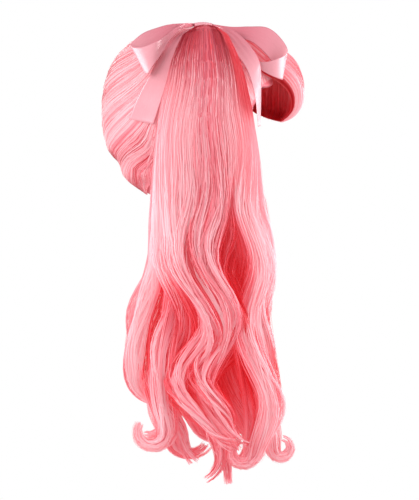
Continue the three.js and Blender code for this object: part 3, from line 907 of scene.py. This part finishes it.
threads = bands("X", SPAN.threads) + bands("Y", SPAN.threads)
sewn = bands("Z", SPAN.rows) * SEWN.rows + threads * SEWN.threads
relief = cap_net.node("ShaderNodeBump", sockets={"Strength": 0.5, "Distance": 0.0008, "Height": sewn})
cap_net.shade(Base_Color=cap_net.ramp(sewn, CAP_DYE), Roughness=0.65 + sewn * 0.2, Normal=relief)
print("cap nodes:", len(cap_net.tree.nodes))

# %% Shell and cap of the crown
# SHELL.deep is painted shade on the shell that shows between the strands.
SHELL = Named(around=150, rings=32, sunk=2.4, sunk_share=0.4, deep=0.35)
CAP = Named(around=120, rings=24, thick=0.9)


def crown_wall(name, size, faces_at, material):
    """A closed wall over the crown. faces_at gives its two faces from the crown's own faces along a way."""
    n, rings = size.around, size.rings
    around, share = np.meshgrid(np.linspace(-180, 180, n, endpoint=False), np.linspace(0, 1, rings + 1)[1:])
    rim = rim_way(around)
    arc = np.arccos(np.clip(rim @ root_way, -1, 1))
    way = unit(root_way * np.sin((1 - share) * arc)[..., None] + rim * np.sin(share * arc)[..., None])
    over, under = faces_at(way, *crown_faces(way))
    middle = faces_at(root_way, on_form(HAIR, root_way), on_form(HOLLOW, root_way))
    points = np.concatenate([over.reshape(-1, 3), under.reshape(-1, 3), middle])
    inside = rings * n
    faces = quads(rings, n, ring=True, flip=True) + quads(rings, n, inside, ring=True)
    for s in range(n):
        e = (s + 1) % n
        faces.append([2 * inside, s, e])
        faces.append([2 * inside + 1, inside + e, inside + s])
        a, b = inside - n + s, inside - n + e
        faces.append([a, inside + a, inside + b, b])
    return mesh_piece(name, points, faces, material)


def shell_faces(way, outer, inner):
    sunk = np.minimum(SHELL.sunk, SHELL.sunk_share * np.linalg.norm(outer - inner, axis=-1))
    return outer - way * sunk[..., None], inner + way * CAP.thick


def cap_faces(way, outer, inner):
    return inner + way * CAP.thick, inner


crown_hair = [
    crown_wall("crown_shell", SHELL, shell_faces, combed_dye),
    crown_wall("crown_cap", CAP, cap_faces, cap_net.owner),
]
set_marks(crown_hair[0], tone=0.5, depth=SHELL.deep, along=0.5)

# %% [markdown]
# ## The crown's strands
# All the hair is pulled to the tie on one side, and from the far side it comes round the back on a slant.
# Guide strands say so: each starts on the rim and passes two places on its way to the tie. Every other
# strand runs between two guides, as in a real groom, and small clumps rise a little from the rest.

# %% Comb the crown
GUIDES = rows_of("rim around_1 rise_1 around_2 rise_2 strands", [
    (-180, -152, -38, -116, -8, 13),
    (-152, -132, -22, -106, 12, 11),
    (-125, -115, -2, -98, 28, 7),
    (-96, -95, 14, -90, 36, 4),
    (-72, -75, 12, -79, 36, 5),
    (-45, -49, 30, -62, 46, 10),
    (0, -8, 38, -38, 55, 12),
    (45, 35, 37, -44, 67, 9),
    (58, 95, 42, 175, 75, 12),
    (72, 150, 22, -149, 42, 14),
    (96, 170, 2, -136, 22, 14),
    (125, 178, -19, -129, 4, 13),
    (152, -176, -34, -125, -12, 10),
    (180, -152, -38, -116, -8, 0),
])
# CROWN.thin is a painted glow on the crown's strands.
CROWN = Named(strands=4300, points=22, spans=3, drift=0.06, bends=(0.8, 2.0), tone=0.2,
              width=0.85, tip=0.4, tapers=(2.2, 3.0), roll=0.15, thin=0.25)
# CLUMP.deep is painted shade between the clumps.
CLUMP = Named(per_guide=12, lift=0.2, tone=0.12, dome=0.4, own=(-0.5, 0.4), deep=0.15,
              ends=(0.08, 0.95), most_sunk=0.5)
NAPE_RED = Named(deep=0.17, below=(95, 160))  # less light gets under the swell of the back


def crown_strands():
    count = CROWN.strands
    t = np.linspace(0, CROWN.spans, CROWN.points)
    guides = np.stack([curve_through([rim_way(g.rim), way_at(g.around_1, g.rise_1),
                                      way_at(g.around_2, g.rise_2), root_way], t) for g in GUIDES])
    share = np.array([g.strands for g in GUIDES], float)
    guide = draw.choice(len(GUIDES), count, p=share / share.sum())[:, None] + each(count)
    drift = vary(count, CROWN.drift) * np.sin(t[None, :] * each(count, *CROWN.bends))
    where = np.clip(guide + drift, 0, len(GUIDES) - 1.001)
    low = where.astype(int)
    step = np.arange(CROWN.points)[None, :]
    way = unit(mix(guides[low, step], guides[low + 1, step], (where - low)[..., None]))
    outer, inner = crown_faces(way)

    clump = np.floor(guide * CLUMP.per_guide).astype(int)
    clumps = len(GUIDES) * CLUMP.per_guide
    clump_lift = draw.normal(0, CLUMP.lift, clumps)[clump]
    clump_tone = draw.normal(0, CLUMP.tone, clumps)[clump]
    dome = np.sin(np.pi * (guide * CLUMP.per_guide - clump))
    lift = clump_lift + CLUMP.dome * (dome - 1) + each(count, *CLUMP.own)
    lift = lift * np.sin(np.pi * np.clip(t / CROWN.spans, *CLUMP.ends))[None, :]
    room = np.linalg.norm(outer - inner, axis=-1)
    paths = outer + way * np.maximum(lift, -CLUMP.most_sunk * room)[..., None]
    dark = each(count) < DARK_STRANDS.share
    tone = np.clip(0.5 + clump_tone + vary(count, CROWN.tone), *TONE.limits) - DARK_STRANDS.tone * dark
    # Painted shade: deeper between the clumps and under the swell of the back.
    depth = CLUMP.deep * (1 - dome) + NAPE_RED.deep * ease(-paths[..., 2], *NAPE_RED.below)
    marks = {"tone": tone, "depth": depth, "shade": DARK_STRANDS.shade * dark, "thin": CROWN.thin}
    width = CROWN.width * mix(1, CROWN.tip, ease(t, *CROWN.tapers))[None, :]
    return strand_piece("crown_strands", paths, way, width, CROWN.roll, marks, combed_dye)


crown_hair.append(crown_strands())

# %% [markdown]
# ## The fringe
# The fringe springs from the top of the crown, rolls forward and turns under, so that its inside, painted
# dark as shade, shows from the side. Its middle profile is a table of outer and under faces, and the
# profile is carried round the crown's upright axis, narrowing to its tip.

# %% Form of the fringe
# Outer x, z and 0 for y, under x, z, near and far angle, sweep upwards at the sweep angle
FRINGE = np.array([
    (54, 1.5, 0, 53, -2.5, -46, 46, 0),
    (73, -0.5, 0, 67.5, -13.2, -50, 50, 0),
    (92, -9, 0, 81, -25.7, -51, 52, 0),
    (109, -20, 0, 92, -44, -46, 54, 2),
    (121, -38, 0, 102, -57, -28, 55, 8),
    (127, -60, 0, 108, -71, -15, 54, 15),
    (124, -81, 0, 108, -86, -10, 50, 22),
    (113, -95, 0, 102, -95, -8, 44, 28),
    (99, -101, 0, 97, -100, -5, 36, 31),
])
SWEEP_ANGLE = math.radians(55)
FRINGE_EDGE = Named(share=0.55, power=6)
SQUEEZE = HAIR.side / HAIR.front


def fringe_point(stop, across, inward):
    """A place in the fringe: stop from root to tip, across from near to far side, inward from its face."""
    out_x, out_z, _, under_x, under_z, near, far, sweep = np.moveaxis(curve_through(FRINGE, stop), -1, 0)
    edge = FRINGE_EDGE.share * np.abs(2 * across - 1) ** FRINGE_EDGE.power
    deep = edge + (1 - edge) * inward
    x = mix(out_x, under_x, deep) - HAIR.x
    turn = np.radians(mix(near, far, across))
    z = mix(out_z, under_z, deep) + sweep * (np.maximum(turn, 0) / SWEEP_ANGLE) ** 2
    return np.stack([HAIR.x + x * np.cos(turn), x * SQUEEZE * np.sin(turn), z], -1)


print("fringe tip:", np.round(fringe_point(np.array([len(FRINGE) - 1.0]), 0.5, 0.0)).tolist())

# %% Core of the fringe
# Painted shade: deep_under draws the core's under face deep red.
FRINGE_CORE = Named(stops=(0.05, 7.85), rings=48, sides=(0.01, 0.99), steps=26, face=0.16,
                    deep_over=0.05, deep_under=1.0)


def fringe_core():
    stop = np.linspace(*FRINGE_CORE.stops, FRINGE_CORE.rings)[:, None]
    across = np.linspace(*FRINGE_CORE.sides, FRINGE_CORE.steps)[None, :]
    stop, across = np.broadcast_arrays(stop, across)
    over = fringe_point(stop, across, FRINGE_CORE.face)
    under = fringe_point(stop, across, 1 - FRINGE_CORE.face)[:, ::-1]
    rings = np.concatenate([over, under], axis=1)
    core = mesh_piece("fringe_core", rings, tube_faces(*rings.shape[:2]), combed_dye)
    depth = np.repeat([FRINGE_CORE.deep_over, FRINGE_CORE.deep_under], FRINGE_CORE.steps)
    set_marks(core, tone=0.5, depth=np.tile(depth, len(rings)), along=0.5)
    return core


fringe_hair = [fringe_core()]

# %% Comb the fringe
FRINGE_COMB = Named(strands=1500, points=24, shorter=1.0, hidden=0.35, inner=(0.8, 1.0),
                    outer=(0.0, 0.14), sides=(-0.01, 1.01), drift=0.02, limits=(-0.02, 1.02), tone=0.2)
FRINGE_RIPPLE = Named(size=0.03, turns=1.1, phase=(0, 6))
FRINGE_FACING = Named(turn=0.15, power=4)  # strands at the two sides face further outwards
# FRINGE_STRAND.thin gives the outer strands a painted glow.
FRINGE_STRAND = Named(width=0.9, tip=0.5, tapers=2, roll=0.1, thin=0.9)
# Painted shade: the inside is deep red, and near its root the near side is deeper than the rest.
FRINGE_RED = Named(hidden=0.9, near=0.3, rest=-0.1, across=(0.04, 0.2), until=(3, 6))


def fringe_strands():
    count = FRINGE_COMB.strands
    tip = len(FRINGE) - 1
    stop = np.linspace(0, 1, FRINGE_COMB.points)[None, :] * each(count, tip - FRINGE_COMB.shorter, tip)
    hidden = each(count) < FRINGE_COMB.hidden
    inward = np.where(hidden, each(count, *FRINGE_COMB.inner), each(count, *FRINGE_COMB.outer))
    across = each(count, *FRINGE_COMB.sides) + vary(count, FRINGE_COMB.drift) * stop / tip
    across = np.clip(across, *FRINGE_COMB.limits)
    ripple = vary(count, FRINGE_RIPPLE.size)
    ripple = ripple * np.sin(stop * FRINGE_RIPPLE.turns + each(count, *FRINGE_RIPPLE.phase))
    paths = fringe_point(stop, across, inward + ripple)
    to_edge = 2 * across - 1
    turned = FRINGE_FACING.turn * np.sign(to_edge) * np.abs(to_edge) ** FRINGE_FACING.power
    hearts = fringe_point(stop, across - turned, 0.5)
    tone = np.clip(0.5 + vary(count, FRINGE_COMB.tone), 0, 1)
    root = mix(FRINGE_RED.near, FRINGE_RED.rest, ease(across, *FRINGE_RED.across))
    depth = np.where(hidden, FRINGE_RED.hidden, root * (1 - ease(stop, *FRINGE_RED.until)))
    marks = {"tone": tone, "depth": depth, "thin": np.where(hidden, 0.0, FRINGE_STRAND.thin)}
    width = FRINGE_STRAND.width * (1 - FRINGE_STRAND.tip * ease(stop, tip - FRINGE_STRAND.tapers, tip))
    outward = unit(paths - hearts)
    return strand_piece("fringe_strands", paths, outward, width, FRINGE_STRAND.roll, marks, combed_dye)


fringe_hair.append(fringe_strands())

# %% [markdown]
# ## The tie
# A wound elastic holds the rope of hair. It is made as three cords that twist round one ring, which reads
# as a hair tie even where the bow leaves little of it to see.

# %% Twist the tie
TIE = Named(lift=3.4, ring=9.8, wind=1.05, cord=1.1, cords=3, turns=6, steps=120, sides=6)
TIE_DYE = [(0, (0.5, 0.12, 0.17)), (1, (0.72, 0.3, 0.36))]

tie_finish = Finish(bpy.data.materials.new("wound_elastic"))
weave = tie_finish.node("ShaderNodeTexWave", {"wave_type": "BANDS"}, {"Scale": 900.0, "Distortion": 2.0},
                        output="Fac")
tie_finish.shade(Base_Color=tie_finish.ramp(weave, TIE_DYE), Roughness=0.7 + weave * 0.2)


def tie_band():
    normal = unit(root_way / np.array([HAIR.front, HAIR.side, HAIR.up]))
    middle = on_form(HAIR, root_way) + normal * TIE.lift
    east = unit(np.cross(Y, normal))
    north = np.cross(normal, east)
    t = full_turn(TIE.steps)[:, None]
    s = full_turn(TIE.sides)[None, :, None]
    spoke = east * np.cos(t) + north * np.sin(t)
    points, faces = [], []
    for cord in range(TIE.cords):
        wind = TIE.turns * t + 2 * np.pi * cord / TIE.cords
        line = middle + spoke * (TIE.ring + TIE.wind * np.cos(wind))
        line = line + normal * TIE.wind * np.sin(wind)
        ring = line[:, None] + TIE.cord * (spoke[:, None] * np.cos(s) + normal * np.sin(s))
        points.append(ring.reshape(-1, 3))
        first = cord * TIE.steps * TIE.sides
        faces += quads(TIE.steps, TIE.sides, first, ring=True, loop=True)
    return mesh_piece("tie_cords", np.concatenate(points), faces, tie_finish.owner)


tie = tie_band()

# %% [markdown]
# ## Satin
# Satin ribbon has long floats of thread along its length, so it shines in broad streaks, with a firm woven
# edge; the streaks are also painted into its colour as painted sheen. Its dye is deeper at the edge, which
# the across mark finds. It is a little darker inside a loop and darkest where the ribbon is gathered at the
# knot, both painted shade, and a faint red emission is a painted glow in its shadows. A fine rib breaks the
# shine.

# %% Satin finish
# SATIN.glow is the colour of a painted glow in the satin's shadows.
SATIN = Named(body=(0.9, 0.42, 0.48), edge=(0.74, 0.2, 0.26), glow=(0.8, 0.1, 0.13, 1))
SELVAGE = {"From Min": 0.46, "From Max": 0.49}  # from the middle of the ribbon, which is 1 wide
FLOATS = Named(across=240, along=18)  # threads are long and thin
# DEEPER.selvage darkens the woven edge; DEEPER.inside is painted shade inside a loop.
DEEPER = Named(selvage=0.5, inside=0.18)
RIB = {"Strength": 0.08, "Distance": 0.0004}
STREAK = Named(level=0.4, strong=0.35, smooth=0.2, duller=0.12)

satin = Finish(bpy.data.materials.new("satin_ribbon"))
across = satin.attribute("across")
selvage = satin.node("ShaderNodeMapRange", {"interpolation_type": "SMOOTHSTEP"},
                     {"Value": abs(across - 0.5), **SELVAGE})
threads = satin.node("ShaderNodeCombineXYZ", sockets={
    0: across * FLOATS.across, 1: satin.attribute("along") * FLOATS.along})
floats = satin.node("ShaderNodeTexNoise", sockets={"Vector": threads, "Scale": 1.0, "Detail": 3.0},
                    output="Fac")
# Painted sheen: the floats lighten and darken the colour in streaks.
body = satin.ramp(floats * STREAK.strong + STREAK.level, [(0.25, SATIN.edge), (0.6, SATIN.body)])
# The deeper woven edge, with painted shade inside a loop and near the knot.
shade = selvage * DEEPER.selvage + satin.attribute("inside") * DEEPER.inside + satin.attribute("gathered")
rib = satin.node("ShaderNodeBump", sockets={**RIB, "Height": floats + selvage})
satin.shade(
    Base_Color=satin.blend(shade, body, (*SATIN.edge, 1)),
    Roughness=STREAK.smooth + floats * STREAK.duller,
    Normal=rib,
    Specular_IOR_Level=0.9,
    Anisotropic=0.6,
    # Painted glow: a faint red emission.
    Emission_Color=SATIN.glow,
    Emission_Strength=0.04,
)
print("satin nodes:", len(satin.tree.nodes))

# %% [markdown]
# ## The bow
# A bow is flat ribbon, bent but never stretched. Each strip is ruled between two edge curves, whose stops
# are tabled as pairs of points. Near the knot the ribbon is gathered, so pleats run out from there and die
# away.

# %% Tables of the ribbon
RIBBONS = {
    "bow_loop_back": [
        (-19.8, -28.6, 16.6, -19.8, -29, 12.6),
        (-47.5, -38, 14, -45, -49, 5),
        (-67, -45, 8, -64, -63, -12),
        (-86.5, -54, -1, -80, -76, -37),
        (-102, -66, -17, -86.5, -82, -52),
        (-90.5, -75, -19.5, -84, -86, -53),
        (-74, -77, -13.5, -77.5, -86, -43),
        (-63, -69, -6.5, -68, -80.5, -30),
        (-50, -56, 4, -54, -67, -9),
        (-35, -44, 14, -37, -51, 6.5),
        (-19.8, -32, 16.6, -19.8, -32.6, 12.6),
    ],
    "bow_loop_front": [
        (3.8, -28, 16.6, 3.8, -28.4, 11.5),
        (28, -34, 13, 26, -44, -2),
        (49, -40, 13, 46, -56, -7),
        (69, -46, 11.5, 62, -63, -21),
        (82.5, -55, 0, 75, -67, -39),
        (90, -69, -20, 82.5, -75, -55),
        (75, -79, -30.5, 72, -79, -53),
        (56, -75, -34, 54, -76, -43),
        (37, -60, -9, 37, -65, -20),
        (3.8, -31.4, 16.6, 3.8, -32, 11.2),
    ],
    "bow_tail_back": [
        (-19.8, -29, 11, -19.8, -35, 9.6),
        (-48, -56.5, -4, -36, -57.5, -4),
        (-70, -75.2, -34.5, -50, -78, -32),
        (-82.5, -79, -57, -58, -85.2, -54.5),
        (-96, -73, -83, -67, -86.2, -82.5),
        (-103.5, -64.5, -105, -76, -80, -112),
    ],
    "bow_tail_front": [
        (3.8, -34.6, 15.4, 3.8, -35.2, 10.4),
        (27, -52, 5.5, 13, -57, -1),
        (44.5, -70, -16, 20.5, -73, -19),
        (53.5, -79, -36.5, 35, -95, -48),
        (54, -84, -69.5, 41, -111, -81.5),
        (52.5, -87, -113, 43, -119, -116.5),
    ],
}
# SHEET.shade and SHEET.shaded paint shade near the knot, fading out between these distances.
SHEET = Named(steps=11, across=16, thick=0.35, shade=1.0, shaded=(10, 120))
PLEAT = Named(count=3, high=0.9, fades=30, starts=(0, 8))
print("ribbons:", {name: len(rows) for name, rows in RIBBONS.items()})

# %% Cut and bend the ribbon
def sheet_piece(name, grid, inner_side=0):
    """A closed sheet of satin over a grid of points, with marks along, across and of painted shade on its
    inner side.
    """
    rows, columns = grid.shape[:2]
    back = rows * columns
    half = 0.5 * SHEET.thick * unit(np.cross(np.gradient(grid, axis=0), np.gradient(grid, axis=1)))
    faces = quads(rows, columns, flip=True) + quads(rows, columns, back)
    place = np.arange(back).reshape(rows, columns)
    rim = np.concatenate([place[:, 0], place[-1, 1:], place[-2::-1, -1], place[0, -2:0:-1]]).tolist()
    for a, b in zip(rim, rim[1:] + rim[:1]):
        faces.append([a, back + a, back + b, b])
    piece = mesh_piece(name, np.stack([grid + half, grid - half]), faces, satin.owner)
    along, across = np.meshgrid(np.linspace(0, 1, rows), np.linspace(0, 1, columns), indexing="ij")
    inside = np.repeat([inner_side > 0, inner_side < 0], back)
    set_marks(piece, along=np.tile(along.ravel(), 2), across=np.tile(across.ravel(), 2), inside=inside)
    return piece


def ribbon(name, rows):
    """A strip of the bow, with its widest width, its length and its area in metres."""
    table = np.array(rows, float)
    t = np.linspace(0, len(rows) - 1, SHEET.steps * (len(rows) - 1) + 1)
    a, b = curve_through(table[:, :3], t), curve_through(table[:, 3:], t)
    share = np.linspace(0, 1, SHEET.across + 1)[None, :, None]
    grid = mix(a[:, None], b[:, None], share)
    middle = grid[:, SHEET.across // 2]
    walked = lengths_along(middle)
    loop = "loop" in name
    from_knot = np.minimum(walked, walked[-1] - walked) if loop else walked
    gathered = np.exp(-from_knot / PLEAT.fades) * ease(from_knot, *PLEAT.starts)
    pleat = PLEAT.high * np.sin(2 * np.pi * PLEAT.count * share) * gathered[:, None, None]
    out = unit(np.cross(np.gradient(middle, axis=0), (b - a)))[:, None]
    normal = np.cross(np.gradient(grid, axis=0), np.gradient(grid, axis=1))
    inner_side = np.sign(((grid.mean((0, 1)) - grid) * normal).sum()) if loop else 0
    piece = sheet_piece(name.replace("bow", "satin"), grid + out * pleat, inner_side)
    # Painted shade near the knot, read by the satin as the gathered mark.
    knot_shade = SHEET.shade * (1 - ease(from_knot, *SHEET.shaded))
    set_marks(piece, gathered=np.tile(np.repeat(knot_shade, SHEET.across + 1), 2))
    wide = np.linalg.norm(np.diff(grid, axis=1), axis=-1).sum(1).max()
    area = np.linalg.norm(b - a, axis=-1)[1:] @ np.diff(walked)
    print(piece.name, "ribbon", round(wide), "mm wide,", round(walked[-1]), "mm long,", round(area), "mm2")
    return piece, wide * MM, walked[-1] * MM, area * MM * MM


bow = {name: ribbon(name, rows) for name, rows in RIBBONS.items()}

# %% [markdown]
# ## The knot
# The knot is a short length of the same ribbon, gathered lengthwise and wrapped round the middle. Its
# pleats run round it, so its outline is a row of small waves that fade towards both ends.

# %% Wrap the knot
KNOT = Named(x=-8, y=-32, z=13.6, long=22, deep=11, high=9.6, ends=0.72)
WRAP = Named(round=48, along=31, pleats=7, pleat=0.07, waver=0.02)


def knot_wrap():
    along = np.linspace(-0.5, 0.5, WRAP.along)[None, :, None]
    angle = np.linspace(0, 2 * np.pi, WRAP.round)[:, None, None]
    folds = 1 - np.cos(2 * np.pi * WRAP.pleats * (along + WRAP.waver * np.sin(2 * angle)))
    full = 0.5 * mix(KNOT.ends, 1, np.cos(np.pi * along)) * (1 - WRAP.pleat * folds)
    grid = (np.array([KNOT.x, KNOT.y, KNOT.z]) + X * along * KNOT.long
            + full * (Y * KNOT.deep * np.cos(angle) + Z * KNOT.high * np.sin(angle)))
    return sheet_piece("satin_knot", grid)


knot = knot_wrap()

# %% [markdown]
# ## Put it together
# Every piece now rides on the root, and the solid that it stands for is hidden.

# %% Attach each piece and hide its solid
for pieces, node in ((tail_hair, "tail"), (crown_hair, "crown"), (fringe_hair, "fringe")):
    for piece in pieces:
        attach(piece, "root")
        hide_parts(node)

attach(tie, "root")
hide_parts("tie_band")

for name, (piece, wide, long, area) in bow.items():
    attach(piece, "root")
    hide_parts(name)

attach(knot, "root")
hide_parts("bow_knot")
